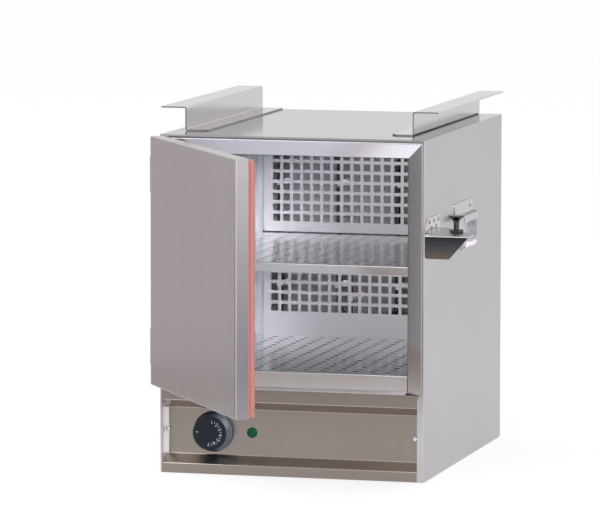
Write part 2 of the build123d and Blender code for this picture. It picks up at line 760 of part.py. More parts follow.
# ---------------------------------------------------------------- heater and temperature bulb
def tube(points, bend, radius):
    """A round bar along straight runs joined by tangent arcs."""
    with BuildLine() as route:
        FilletPolyline(*points, radius=bend)
    start = Vector(*points[0])
    with BuildSketch(Plane(origin=points[0], z_dir=Vector(*points[1]) - start)) as section:
        Circle(radius)
    sweep(section.sketch, path=route.line)


with BuildPart() as heater_element:
    tube([(heater_x[0], heater_y, heater_tail), (heater_x[0], heater_y, heater_top),
          (heater_x[1], heater_y, heater_top), (heater_x[1], heater_y, heater_low),
          (heater_x[2], heater_y, heater_low), (heater_x[2], heater_y, heater_top),
          (heater_x[3], heater_y, heater_top), (heater_x[3], heater_y, heater_tail)],
         heater_bend, heater_radius)
heater_element.part.label = "heater_element"
export_step(heater_element.part, "parts/heater_element.step")

with BuildPart() as heater_terminals:
    for x in (heater_x[0], heater_x[-1]):
        rod((x, heater_y, heater_tail), (0, 0, -1), heater_pin_radius, heater_pin_length)
        rod((x, heater_y, heater_tail), (0, 0, -1), heater_radius - heater_pin_radius / 3, heater_radius)
heater_terminals.part.label = "heater_terminals"
export_step(heater_terminals.part, "parts/heater_terminals.step")


def saddle_clip(x, y, z, radius):
    """A sheet saddle that holds a round bar against the chamber's back sheet, with a welded foot."""
    block((x - radius - liner, x + radius + liner), (y - radius - liner, chamber_back_y), (z, z + clip_width))
    block((x - radius, x + radius), (y, chamber_back_y), (z, z + clip_width), Mode.SUBTRACT)
    rod((x, y, z), (0, 0, 1), radius, clip_width, Mode.SUBTRACT)
    block((x + radius + liner, x + radius + clip_foot), (chamber_back_y - liner, chamber_back_y),
          (z, z + clip_width))


with BuildPart() as chamber_clips:
    for x in heater_x:
        for z in (heater_low + clip_rise, heater_top - clip_rise - clip_width):
            saddle_clip(x, heater_y, z, heater_radius)
    for z in (bulb_bottom + 2 * clip_width, bulb_top - 3 * clip_width):
        saddle_clip(bulb_x, bulb_y, z, bulb_radius)
chamber_clips.part.label = "chamber_clips"
export_step(chamber_clips.part, "parts/chamber_clips.step")

with BuildPart() as thermostat_bulb:
    rod((bulb_x, bulb_y, bulb_bottom), (0, 0, 1), bulb_radius, bulb_top - bulb_bottom)
    rod((bulb_x, bulb_y, bulb_bottom), (0, 0, -1), capillary_radius, bulb_neck)
thermostat_bulb.part.label = "thermostat_bulb"
export_step(thermostat_bulb.part, "parts/thermostat_bulb.step")

with BuildPart() as capillary_tube:
    capillary_x = knob_x + thermostat_size / 2 - 2 * thermostat_corner
    capillary_low = chamber_floor_height - capillary_drop
    tube([(bulb_x, bulb_y, bulb_bottom - bulb_neck), (bulb_x, bulb_y, capillary_low),
          (capillary_x, bulb_y, capillary_low), (capillary_x, body_back, capillary_low)],
         wire_bend, capillary_radius)
capillary_tube.part.label = "capillary_tube"
export_step(capillary_tube.part, "parts/capillary_tube.step")

# ---------------------------------------------------------------- electrics in the base
half_run = terminal_poles * terminal_pitch / 2
terminal_floor = skin + terminal_height - terminal_well
pole_xs = [terminal_x - half_run + terminal_pitch * (pole + 0.5) for pole in range(terminal_poles)]

with BuildPart() as terminal_block:
    block((terminal_x - half_run, terminal_x + half_run),
          (terminal_y - terminal_depth / 2, terminal_y + terminal_depth / 2), (skin, skin + terminal_foot))
    block((terminal_x - half_run, terminal_x + half_run),
          (terminal_y - terminal_ridge / 2, terminal_y + terminal_ridge / 2),
          (skin + terminal_foot, skin + terminal_height))
    for pole_x in pole_xs:
        hole((pole_x, terminal_y, skin + terminal_height), (0, 0, 1), terminal_screw_radius + 2 * fit_gap,
             terminal_well)
terminal_block.part.label = "terminal_block"
export_step(terminal_block.part, "parts/terminal_block.step")

with BuildPart() as terminal_screws:
    for pole_x in pole_xs:
        rod((pole_x, terminal_y, terminal_floor), (0, 0, 1), terminal_screw_radius, terminal_screw_length)
terminal_screws.part.label = "terminal_screws"
export_step(terminal_screws.part, "parts/terminal_screws.step")

inside = rear - skin
with BuildPart() as cable_gland:
    rod((gland_x, inside - gland_thread, gland_height), (0, 1, 0), gland_radius,
        gland_thread + skin + gland_hexagon)
    with BuildSketch(Plane(origin=(gland_x, rear, gland_height), z_dir=(0, 1, 0))) as collar:
        RegularPolygon(gland_radius + nut_flat + plate, 6)
    extrude(collar.sketch, amount=gland_hexagon)
    with BuildSketch(Plane(origin=(gland_x, rear + gland_hexagon, gland_height), z_dir=(0, 1, 0))) as cap:
        Circle(gland_radius + nut_flat)
    extrude(cap.sketch, amount=gland_cap, taper=12)
    hole((gland_x, rear, gland_height), (0, 1, 0), gland_bore_radius, 2 * (gland_thread + gland_cap))
cable_gland.part.label = "cable_gland"
export_step(cable_gland.part, "parts/cable_gland.step")

with BuildPart() as gland_nut:
    with BuildSketch(Plane(origin=(gland_x, inside, gland_height), z_dir=(0, -1, 0))):
        RegularPolygon(gland_radius + nut_flat + liner, 6)
        Circle(gland_radius + running_fit, mode=Mode.SUBTRACT)
    extrude(amount=nut_height)
gland_nut.part.label = "gland_nut"
export_step(gland_nut.part, "parts/gland_nut.step")

with BuildPart() as earth_stud:
    rod((stud_x, inside - stud_length, gland_height), (0, 1, 0), screw_radius, 2 * stud_length + skin)
    with BuildSketch(Plane(origin=(stud_x, rear, gland_height), z_dir=(0, 1, 0))) as hexagon:
        RegularPolygon(2 * screw_radius, 6)
    extrude(hexagon.sketch, amount=nut_height)
earth_stud.part.label = "earth_stud"
export_step(earth_stud.part, "parts/earth_stud.step")

wire_height = skin + wire_rise
tag_height = control_height + tag_rise + tag_thickness / 2
tag_end = body_back + tag_length
lamp_end = tray_face + lamp_barrel_length + lamp_pin_length
heater_end = heater_tail - heater_pin_length
block_front = terminal_y - terminal_depth / 2
block_back = terminal_y + terminal_depth / 2
with BuildPart() as wiring:
    tube([(knob_x - tag_spread, tag_end, tag_height),
          (knob_x - tag_spread, body_back + wire_slack, tag_height),
          (knob_x - tag_spread, body_back + wire_slack, control_wires),
          (pole_xs[0], body_back + wire_slack, control_wires),
          (pole_xs[0], block_front - wire_slack, control_wires),
          (pole_xs[0], block_front - wire_slack, wire_height), (pole_xs[0], block_front, wire_height)],
         wire_bend, wire_radius)
    tube([(lamp_x - lamp_pin_spread, lamp_end, control_height),
          (lamp_x - lamp_pin_spread, lamp_end + wire_slack, control_height),
          (lamp_x - lamp_pin_spread, lamp_end + wire_slack, lamp_wires),
          (pole_xs[1], lamp_end + wire_slack, lamp_wires),
          (pole_xs[1], block_front - wire_slack, lamp_wires),
          (pole_xs[1], block_front - wire_slack, wire_height), (pole_xs[1], block_front, wire_height)],
         wire_bend, wire_radius)
    tube([(heater_x[-1], heater_y, heater_end), (heater_x[-1], heater_y, heater_wires),
          (pole_xs[3], heater_y, heater_wires), (pole_xs[3], heater_y, wire_height),
          (pole_xs[3], block_back, wire_height)],
         wire_bend, wire_radius)
    tube([(heater_x[0], heater_y, heater_end), (heater_x[0], heater_y, tag_height),
          (heater_x[0], tag_end + wire_slack, tag_height),
          (knob_x + tag_spread, tag_end + wire_slack, tag_height),
          (knob_x + tag_spread, tag_end, tag_height)],
         wire_bend, wire_radius)
wiring.part.label = "wiring"
export_step(wiring.part, "parts/wiring.step")

# ---------------------------------------------------------------- door
# The door's pieces are placed as they lie with the door shut, then swung about the hinge axis to
# the angle at which the model stands.
door_swing = (Location((hinge_x, hinge_y, 0), (0, 0, -door_open_angle))
              * Location((-hinge_x, -hinge_y, 0)))
tab_rivet_y = door_rim - tab_rivet_inset
tab_centre = (leaf_tall + door_knuckle) / 2 + knuckle_gap
tab_heights = [height + step * tab_centre for height in hinge_heights for step in (-1, 1)]

with BuildPart() as door_skin:
    block((-door_x, door_x), (door_face, door_rim), (door_bottom, body_height))
    fillet(door_skin.edges().group_by(Axis.Y)[0], radius=door_fold)
    offset(amount=-skin, openings=door_skin.faces().sort_by(Axis.Y)[-1])
    for height in tab_heights:
        hole((-door_x, tab_rivet_y, height), (1, 0, 0), rivet_radius + fit_gap, 2 * skin)
door_skin.part = door_skin.part.moved(door_swing)
door_skin.part.label = "door_skin"
export_step(door_skin.part, "parts/door_skin.step")

with BuildPart() as door_inner_panel:
    block((-door_x + skin, door_x - skin), (door_rim - liner, door_rim),
          (door_bottom + skin, body_height - skin))
door_inner_panel.part = door_inner_panel.part.moved(door_swing)
door_inner_panel.part.label = "door_inner_panel"
export_step(door_inner_panel.part, "parts/door_inner_panel.step")

with BuildPart() as door_insulation:
    block((-door_x + skin + insulation_gap, door_x - skin), (door_face + skin, door_rim - liner),
          (door_bottom + skin, body_height - skin))
    fillet(door_insulation.edges().group_by(Axis.Y)[0], radius=door_fold - skin)
door_insulation.part = door_insulation.part.moved(door_swing)
door_insulation.part.label = "door_insulation"
export_step(door_insulation.part, "parts/door_insulation.step")

with BuildPart() as door_gasket:
    block((-door_x + gasket_inset, door_x - gasket_inset), (door_rim, door_rim + gasket_depth),
          (door_bottom + gasket_inset, body_height - gasket_inset))
    block((-door_x + gasket_inset + gasket_width, door_x - gasket_inset - gasket_width),
          (door_rim, door_rim + gasket_depth),
          (door_bottom + gasket_inset + gasket_width, body_height - gasket_inset - gasket_width),
          Mode.SUBTRACT)
    fillet(door_gasket.edges().group_by(Axis.Y)[-1], radius=gasket_round)
door_gasket.part = door_gasket.part.moved(door_swing)
door_gasket.part.label = "door_gasket"
export_step(door_gasket.part, "parts/door_gasket.step")

with BuildPart() as door_hinge_tabs:
    with Locations(door_swing):
        for height in tab_heights:
            low = height - door_knuckle / 2
            block((-door_x - plate, -door_x), (hinge_y, door_rim - door_fold), (low, low + door_knuckle))
            rod((hinge_x, hinge_y, low), (0, 0, 1), knuckle_radius, door_knuckle)
            hole((hinge_x, hinge_y, height), (0, 0, 1), pin_radius + running_fit, door_knuckle)
            hole((-door_x, tab_rivet_y, height), (1, 0, 0), rivet_radius + fit_gap, 2 * plate)
door_hinge_tabs.part.label = "door_hinge_tabs"
export_step(door_hinge_tabs.part, "parts/door_hinge_tabs.step")

with BuildPart() as door_rivets:
    with Locations(door_swing):
        for height in tab_heights:
            rivet((-door_x - plate, tab_rivet_y, height), (-1, 0, 0))
door_rivets.part.label = "door_rivets"
export_step(door_rivets.part, "parts/door_rivets.step")

# ---------------------------------------------------------------- door hinges on the left wall
with BuildPart() as hinge_leaves:
    for height in hinge_heights:
        low = height - leaf_tall / 2
        block((-half_width - plate, -half_width), (hinge_y, front + leaf_long), (low, low + leaf_tall))
        rod((hinge_x, hinge_y, low), (0, 0, 1), knuckle_radius, leaf_tall)
        hole((hinge_x, hinge_y, height), (0, 0, 1), pin_radius + running_fit, leaf_tall)
        for y, z in hinge_leaf_rivets(height):
            hole((-half_width, y, z), (1, 0, 0), rivet_radius + fit_gap, 2 * plate)
hinge_leaves.part.label = "hinge_leaves"
export_step(hinge_leaves.part, "parts/hinge_leaves.step")

with BuildPart() as hinge_pins:
    for height in hinge_heights:
        reach = leaf_tall / 2 + knuckle_gap + door_knuckle + knuckle_gap
        rod((hinge_x, hinge_y, height - reach), (0, 0, 1), pin_radius, 2 * reach)
        rod((hinge_x, hinge_y, height + reach), (0, 0, 1), pin_head_radius, rivet_head_height)
        rod((hinge_x, hinge_y, height - reach), (0, 0, -1), pin_head_radius, rivet_head_height)
hinge_pins.part.label = "hinge_pins"
export_step(hinge_pins.part, "parts/hinge_pins.step")


# ---------------------------------------------------------------- mounting rails
def rail(web_x, outwards):
    """A Z-section rail: foot inwards on the top panel, web up, flange outwards."""
    start = front + rail_front
    top = body_height + rail_height
    web_back = web_x - outwards * rail_sheet
    foot_edge = web_x - outwards * rail_bottom_flange
    flange_edge = web_back + outwards * rail_top_flange
    with BuildSketch(front_view(start)) as section:
        with BuildLine():
            Polyline((foot_edge, body_height), (web_x, body_height), (web_x, top - rail_sheet),
                     (flange_edge, top - rail_sheet), (flange_edge, top), (web_back, top),
                     (web_back, body_height + rail_sheet), (foot_edge, body_height + rail_sheet), close=True)
        make_face()
        round_corners(section, [(web_x, body_height), (web_back, top)], rail_bend)
        round_corners(section, [(web_x, top - rail_sheet), (web_back, body_height + rail_sheet)],
                      rail_bend - rail_sheet)
    extrude(section.sketch, amount=-(rear - rail_rear - start))
    outline_cut(Plane.XY.offset(body_height),
                [(foot_edge, start), (foot_edge + outwards * rail_corner, start),
                 (foot_edge, start + rail_corner)], rail_sheet)


with BuildPart() as rail_left:
    rail(rail_web_left, -1)
rail_left.part.label = "rail_left"
export_step(rail_left.part, "parts/rail_left.step")

with BuildPart() as rail_right:
    rail(rail_web_right, 1)
rail_right.part.label = "rail_right"
export_step(rail_right.part, "parts/rail_right.step")

# ---------------------------------------------------------------- side latch
leaf_start = front + latch_leaf_start
leaf_end = front + latch_leaf_end
knuckle_start = front + flap_knuckle_start
knuckle_end = front + flap_knuckle_end
flap_back = front + flap_end
flap_outer = latch_axis_x + flap_reach
flap_root_x = latch_axis_x + knuckle_radius + knuckle_gap
latch_knob_x = latch_axis_x + latch_knob_reach

with BuildPart() as latch_leaf:
    block((half_width, half_width + plate), (leaf_start, leaf_end),
          (latch_height - plate, latch_height - plate + latch_leaf_height))
    block((half_width, latch_axis_x), (leaf_start, leaf_end), (latch_height - plate, latch_height))
    rod((latch_axis_x, leaf_start, latch_axis_z), (0, 1, 0), knuckle_radius, leaf_end - leaf_start)
    hole((latch_axis_x, leaf_start, latch_axis_z), (0, 1, 0), pin_radius + running_fit, leaf_end - leaf_start)
    block((half_width + plate, flap_root_x), (knuckle_start - knuckle_gap, knuckle_end + knuckle_gap),
          (latch_axis_z - knuckle_radius, latch_height), Mode.SUBTRACT)
    for y, z in latch_rivets_at:
        hole((half_width, y, z), (1, 0, 0), rivet_radius + fit_gap, 2 * plate)
latch_leaf.part.label = "latch_leaf"
export_step(latch_leaf.part, "parts/latch_leaf.step")

with BuildPart() as latch_pin:
    rod((latch_axis_x, leaf_start - knuckle_gap, latch_axis_z), (0, 1, 0), pin_radius,
        leaf_end - leaf_start + 2 * knuckle_gap)
    rod((latch_axis_x, leaf_end + knuckle_gap, latch_axis_z), (0, 1, 0), pin_head_radius, rivet_head_height)
    rod((latch_axis_x, leaf_start - knuckle_gap, latch_axis_z), (0, -1, 0), pin_head_radius,
        rivet_head_height)
latch_pin.part.label = "latch_pin"
export_step(latch_pin.part, "parts/latch_pin.step")

with BuildPart() as latch_flap:
    with BuildSketch(Plane.XY.offset(latch_height - plate)) as sheet:
        with BuildLine():
            Polyline((flap_root_x, lip_y - plate), (flap_outer, lip_y - plate), (flap_outer, flap_back),
                     (flap_outer - (leaf_end - flap_back) * flap_taper, leaf_end), (flap_root_x, leaf_end),
                     close=True)
        make_face()
    extrude(sheet.sketch, amount=plate)
    block((latch_axis_x, flap_root_x), (knuckle_start, knuckle_end), (latch_height - plate, latch_height))
    rod((latch_axis_x, knuckle_start, latch_axis_z), (0, 1, 0), knuckle_radius, knuckle_end - knuckle_start)
    hole((latch_axis_x, knuckle_start, latch_axis_z), (0, 1, 0), pin_radius + running_fit,
         knuckle_end - knuckle_start)
    lip_bottom = latch_height - flap_lip_height
    with BuildSketch(front_view(lip_y - plate)) as lip:
        with BuildLine():
            Polyline((flap_root_x, latch_height), (flap_outer, latch_height),
                     (flap_outer, latch_height - plate), (flap_outer - flap_lip_chamfer, lip_bottom),
                     (flap_root_x, lip_bottom), close=True)
        make_face()
        round_corners(lip, [(flap_outer - flap_lip_chamfer, lip_bottom), (flap_root_x, lip_bottom)],
                      flap_corner)
    extrude(lip.sketch, amount=-plate)
    fillet(latch_flap.edges().filter_by(Axis.X).group_by(Axis.Y)[0].group_by(Axis.Z)[-1], radius=plate)
    hole((latch_knob_x, front + latch_knob_back, latch_height), (0, 0, 1), screw_radius + fit_gap, 2 * plate)
latch_flap.part.label = "latch_flap"
export_step(latch_flap.part, "parts/latch_flap.step")

with BuildPart() as latch_knob:
    turned((latch_knob_x, front + latch_knob_back, latch_height), (0, 0, 1),
           [(0, 0), (latch_nut_radius, 0), (latch_nut_radius, latch_nut_height),
            (latch_stem_radius, latch_nut_height), (latch_stem_radius, latch_knob_height / 2),
            (latch_stem_radius + latch_knob_rim, latch_knob_height - 4 * latch_knob_rim),
            (latch_knob_radius, latch_knob_height - latch_knob_rim), (latch_knob_radius, latch_knob_height),
            (0, latch_knob_height)])
    rod((latch_knob_x, front + latch_knob_back, latch_height), (0, 0, -1), screw_radius, plate + rivet_tail)
latch_knob.part.label = "latch_knob"
export_step(latch_knob.part, "parts/latch_knob.step")

# ---------------------------------------------------------------- side grip
grip_start = front + grip_front
grip_end = front + grip_rear
grip_face = half_width + skin
ledge_out = half_width + grip_ledge
ledge_under = grip_ledge_top - skin
flange_out = half_width + grip_shelf
with BuildPart() as side_grip:
    with BuildSketch(front_view(grip_start)) as ledge:
        with BuildLine():
            Polyline((half_width, grip_top), (grip_face, grip_top), (grip_face, grip_ledge_top),
                     (ledge_out, grip_ledge_top), (ledge_out, grip_ledge_top - grip_hook),
                     (ledge_out - skin, grip_ledge_top - grip_hook), (ledge_out - skin, ledge_under),
                     (half_width, ledge_under), close=True)
        make_face()
        round_corners(ledge, [(grip_face, grip_ledge_top)], grip_root_round)
        round_corners(ledge, [(half_width, ledge_under)], grip_root_round + skin)
        round_corners(ledge, [(ledge_out, grip_ledge_top)], grip_hook_round)
        round_corners(ledge, [(ledge_out - skin, ledge_under)], grip_hook_round - skin)
    extrude(ledge.sketch, amount=-(grip_end - grip_ledge_end - grip_start))
    block((half_width, grip_face), (grip_end - grip_ledge_end, grip_end), (grip_bottom, grip_top))
    block((half_width, grip_face), (grip_start + grip_waist, grip_end),
          (grip_bottom, grip_ledge_top + grip_root_round))
    block((grip_face, flange_out), (grip_start + grip_waist, grip_end - grip_web_inset),
          (grip_bottom, grip_bottom + skin))
    block((grip_face, flange_out), (grip_end - grip_web_inset - skin, grip_end - grip_web_inset),
          (grip_bottom, grip_ledge_top))
    fillet(side_grip.edges().filter_by(Axis.X).group_by(Axis.Z)[-1].group_by(Axis.Y)[0], radius=grip_corner)
    for y, z in grip_rivets_at:
        hole((half_width, y, z), (1, 0, 0), rivet_radius + fit_gap, 2 * plate)
    hole((half_width, *grip_screw_at), (1, 0, 0), screw_radius + fit_gap, 2 * plate)
side_grip.part.label = "side_grip"
export_step(side_grip.part, "parts/side_grip.step")

# ---------------------------------------------------------------- fasteners in the side walls
with BuildPart() as wall_rivets:
    for height in hinge_heights:
        for y, z in hinge_leaf_rivets(height):
            rivet((-half_width - plate, y, z), (-1, 0, 0))
    for y, z in latch_rivets_at:
        rivet((half_width + plate, y, z), (1, 0, 0))
    for y, z in grip_rivets_at:
        rivet((half_width + skin, y, z), (1, 0, 0))
    rod((half_width + skin, *grip_screw_at), (1, 0, 0), screw_radius + 0.8, rivet_head_height)
    rod((half_width + skin, *grip_screw_at), (-1, 0, 0), screw_radius, plate + skin + rivet_tail)
wall_rivets.part.label = "wall_rivets"
export_step(wall_rivets.part, "parts/wall_rivets.step")
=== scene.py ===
import json
import math

import bmesh
import bpy
from mathutils import Matrix, Vector


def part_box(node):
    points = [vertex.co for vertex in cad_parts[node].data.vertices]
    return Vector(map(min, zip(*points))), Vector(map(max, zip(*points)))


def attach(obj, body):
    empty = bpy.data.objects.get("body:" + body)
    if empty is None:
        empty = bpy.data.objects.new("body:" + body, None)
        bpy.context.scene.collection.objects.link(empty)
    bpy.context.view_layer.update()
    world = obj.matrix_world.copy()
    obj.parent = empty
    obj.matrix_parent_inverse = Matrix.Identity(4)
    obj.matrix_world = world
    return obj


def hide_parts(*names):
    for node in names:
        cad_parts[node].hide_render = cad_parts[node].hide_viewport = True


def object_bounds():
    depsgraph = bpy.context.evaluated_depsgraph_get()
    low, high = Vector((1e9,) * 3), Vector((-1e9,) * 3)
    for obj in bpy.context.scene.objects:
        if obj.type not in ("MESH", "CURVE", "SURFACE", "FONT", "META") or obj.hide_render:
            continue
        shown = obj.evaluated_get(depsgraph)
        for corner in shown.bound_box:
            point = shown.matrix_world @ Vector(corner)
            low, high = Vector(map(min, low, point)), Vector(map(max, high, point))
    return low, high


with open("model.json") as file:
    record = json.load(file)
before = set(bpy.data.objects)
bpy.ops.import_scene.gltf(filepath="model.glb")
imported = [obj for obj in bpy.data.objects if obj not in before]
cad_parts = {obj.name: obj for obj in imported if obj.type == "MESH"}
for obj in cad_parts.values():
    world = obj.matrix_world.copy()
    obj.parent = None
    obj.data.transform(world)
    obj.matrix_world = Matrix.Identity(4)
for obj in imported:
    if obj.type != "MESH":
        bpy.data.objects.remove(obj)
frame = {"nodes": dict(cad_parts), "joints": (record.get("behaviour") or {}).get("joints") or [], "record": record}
cad_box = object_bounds()
nodes = frame["nodes"]
scene = bpy.context.scene

# ---------------------------------------------------------------- places taken from the frame
JOINTS = {joint["name"]: joint for joint in frame["joints"]}
BODIES = {node: body for body, members in frame["record"]["behaviour"]["bodies"].items()
          for node in members}


def door_rest():
    """The matrix that takes a point of the shut door to the angle at which it stands."""
    joint = JOINTS["door_hinge"]
    pivot = Vector(joint["pos_m"])
    turn = Matrix.Rotation(math.radians(-joint["range_deg"][0]), 4, Vector(joint["axis"]))
    return Matrix.Translation(pivot) @ turn @ Matrix.Translation(-pivot)


# ---------------------------------------------------------------- camera, as fitted to the photo
PHOTO_WIDTH = 600
FOCAL_PIXELS = 5267.4
SENSOR_WIDTH = 36.0
CLIP_END = 60.0
CAMERA_PLACE = (1.9803, -7.6288, 1.1498)
CAMERA_YAW = math.radians(14.929)
CAMERA_PITCH = math.radians(6.227)
CAMERA_ROLL = math.radians(0.096)


def make_camera():
    data = bpy.data.cameras.new("camera")
    data.sensor_width = SENSOR_WIDTH
    data.lens = FOCAL_PIXELS / PHOTO_WIDTH * SENSOR_WIDTH
    data.clip_end = CLIP_END
    camera = bpy.data.objects.new("camera", data)
    scene.collection.objects.link(camera)
    turn = (Matrix.Rotation(CAMERA_YAW, 4, "Z") @ Matrix.Rotation(math.pi / 2 - CAMERA_PITCH, 4, "X")
            @ Matrix.Rotation(CAMERA_ROLL, 4, "Z"))
    camera.matrix_world = Matrix.Translation(CAMERA_PLACE) @ turn
    scene.camera = camera


# ---------------------------------------------------------------- node helpers
class Graph:
    """A short way to add shader nodes and link them. add gives the node itself, the methods that
    make a value give its socket."""

    def __init__(self, tree):
        self.tree = tree
        tree.nodes.clear()

    def add(self, kind, inputs=None, **settings):
        node = self.tree.nodes.new(kind)
        for name, value in settings.items():
            setattr(node, name, value)
        for name, value in (inputs or {}).items():
            self.put(node.inputs[name], value)
        return node

    def put(self, socket, value):
        if isinstance(value, bpy.types.NodeSocket):
            self.tree.links.new(value, socket)
        else:
            socket.default_value = value

    def math(self, operation, *values):
        node = self.add("ShaderNodeMath", operation=operation)
        for socket, value in zip(node.inputs, values):
            self.put(socket, value)
        return node.outputs[0]

    def mix(self, factor, first, second):
        node = self.add("ShaderNodeMix", data_type="RGBA")
        self.put(node.inputs["Factor"], factor)
        self.put(node.inputs["A"], first)
        self.put(node.inputs["B"], second)
        return node.outputs["Result"]

    def spread(self, value, low, high, to_low=0.0, to_high=1.0):
        node = self.add("ShaderNodeMapRange", {"Value": value, "From Min": low, "From Max": high,
                                               "To Min": to_low, "To Max": to_high})
        return node.outputs["Result"]

    def place(self):
        return self.add("ShaderNodeTexCoord").outputs["Object"]

    def noise(self, place, scale, detail=3.0, distortion=0.0):
        node = self.add("ShaderNodeTexNoise", {"Vector": place, "Scale": scale, "Detail": detail,
                                               "Distortion": distortion})
        return node.outputs["Fac"]

    def relief(self, height, strength, distance=0.0001):
        node = self.add("ShaderNodeBump", {"Height": height, "Strength": strength, "Distance": distance})
        return node.outputs["Normal"]

    def seen(self):
        """1 for rays of the camera, of reflections and through clear pieces, 0 for the light that falls."""
        path = self.add("ShaderNodeLightPath").outputs
        seen = self.math("MAXIMUM", path["Is Camera Ray"], path["Is Glossy Ray"])
        return self.math("MAXIMUM", seen, path["Is Transmission Ray"])

    def finish(self, shader, kind="ShaderNodeOutputMaterial"):
        """Links a shader to an output node."""
        self.put(self.add(kind).inputs["Surface"], shader)

    def principled(self, inputs):
        self.finish(self.add("ShaderNodeBsdfPrincipled", inputs).outputs["BSDF"])


def srgb(red, green, blue):
    """A linear colour from 0-255 screen values."""
    def linear(value):
        value = value / 255
        return value / 12.92 if value <= 0.04045 else ((value + 0.055) / 1.055) ** 2.4
    return (linear(red), linear(green), linear(blue), 1.0)


def shade(colour, share):
    """A colour made darker or lighter by a share."""
    return tuple(min(1.0, part * share) for part in colour[:3]) + (1.0,)


def new_material(name):
    material = bpy.data.materials.new(name)
    material.use_nodes = True
    return material, Graph(material.node_tree)


# ---------------------------------------------------------------- materials
# Noise cells per metre: along and across the grain of brushed steel, its clouds, the pebbles of
# moulded plastic and their clouds, and the fibres of wool.
ALONG_GRAIN = 25.0
ACROSS_GRAIN = 5000.0
STEEL_CLOUDS = 7.0
PEBBLES = 1800.0
PLASTIC_CLOUDS = 40.0
FIBRES = 220.0


def steel(name, colour, roughness, grain_axis, grain=0.03, bump=0.015, cloud=0.03, edge=1.0, metal=1.0):
    """Stainless sheet: very fine lines along one axis, soft clouds in tone and gloss. edge is the
    brightness of the sheet seen at a low angle."""
    material, graph = new_material(name)
    place = graph.place()
    stretch = [ALONG_GRAIN if axis == grain_axis else ACROSS_GRAIN for axis in "XYZ"]
    lines = graph.noise(graph.add("ShaderNodeMapping", {"Vector": place, "Scale": stretch}).outputs[0], 1.0)
    clouds = graph.noise(place, STEEL_CLOUDS)
    tone = graph.math("ADD", graph.math("MULTIPLY", lines, 0.15), graph.math("MULTIPLY", clouds, 0.85))
    gloss = graph.math("ADD", lines, graph.math("MULTIPLY", clouds, 0.5))
    graph.principled({
        "Base Color": graph.mix(graph.spread(tone, 0.35, 0.65), shade(colour, 1 - cloud),
                                shade(colour, 1 + cloud)),
        "Metallic": metal,
        "Roughness": graph.spread(gloss, 0.5, 1.0, roughness - grain, roughness + grain),
        "Normal": graph.relief(lines, bump),
        "Specular Tint": (edge, edge, edge, 1.0)})
    return material


def lip_steel(name, levels, tones):
    """Polished sheet whose tone changes with height, between levels given in metres: painted shade and reflection,
    darker towards the top.
    """
    material, graph = new_material(name)
    height = graph.add("ShaderNodeSeparateXYZ", {"Vector": graph.place()}).outputs["Z"]
    base = tones[0]
    for low, high, tone in zip(levels, levels[1:], tones[1:]):
        base = graph.mix(graph.spread(height, low, high), base, tone)
    graph.principled({"Base Color": base, "Metallic": 1.0, "Roughness": 0.16})
    return material


def moulded(name, colour, roughness, texture=0.1, shine=0.5):
    """Moulded plastic or rubber with a fine pebbled surface."""
    material, graph = new_material(name)
    place = graph.place()
    pebbles = graph.noise(place, PEBBLES, 2.0)
    graph.principled({
        "Base Color": graph.mix(graph.noise(place, PLASTIC_CLOUDS), shade(colour, 0.92), shade(colour, 1.08)),
        "Roughness": graph.spread(pebbles, 0.3, 0.7, roughness - 0.04, roughness + 0.04),
        "Normal": graph.relief(pebbles, texture),
        "Specular IOR Level": shine})
    return material


def wool(name):
    """Loose mineral fibre."""
    material, graph = new_material(name)
    fibres = graph.noise(graph.place(), FIBRES, 8.0, 2.0)
    graph.principled({
        "Base Color": graph.mix(fibres, srgb(150, 130, 70), srgb(205, 190, 130)),
        "Roughness": 0.95,
        "Normal": graph.relief(fibres, 0.8, 0.001)})
    return material


